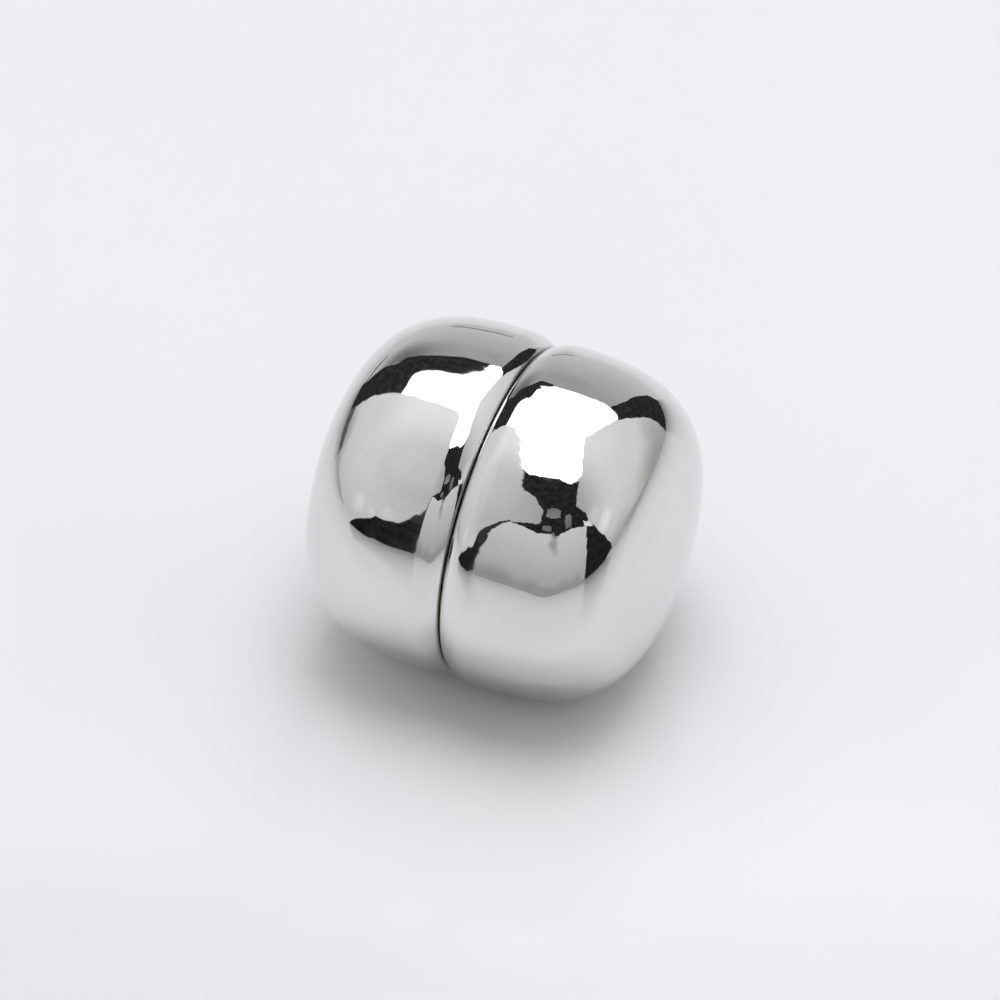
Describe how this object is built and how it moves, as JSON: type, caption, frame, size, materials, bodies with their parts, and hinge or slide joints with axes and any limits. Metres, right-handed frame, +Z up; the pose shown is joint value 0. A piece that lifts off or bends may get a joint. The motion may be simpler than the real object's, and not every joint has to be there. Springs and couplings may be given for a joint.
{
  "type": "magnetic scarf pin",
  "caption": "Small polished metal barrel of two domed halves that close face to face with disc magnets to hold a scarf without piercing it.",
  "frame": {"origin": "on the resting surface, straight under the middle of the seam between the two halves", "axes": "+X along the barrel's axis towards the tip of the front half, +Z up from the surface that the barrel lies on, +Y across it"},
  "size_m": [0.0122, 0.012, 0.012],
  "materials": {
    "polished_metal": "mirror-polished silver-coloured plating on cast alloy",
    "plated_magnet": "satin nickel plating on a sintered magnet"
  },
  "bodies": {
    "back_half": {"back_cap": "polished_metal", "back_magnet": "plated_magnet"},
    "front_half": {"front_cap": "polished_metal", "front_magnet": "plated_magnet"}
  },
  "joints": [
    {"name": "pull_apart", "type": "slide", "parent": "back_half", "child": "front_half", "axis": [1, 0, 0], "range_m": [0, 0.012], "stiffness_N_per_m": 5, "springref_m": -0.03}
  ]
}
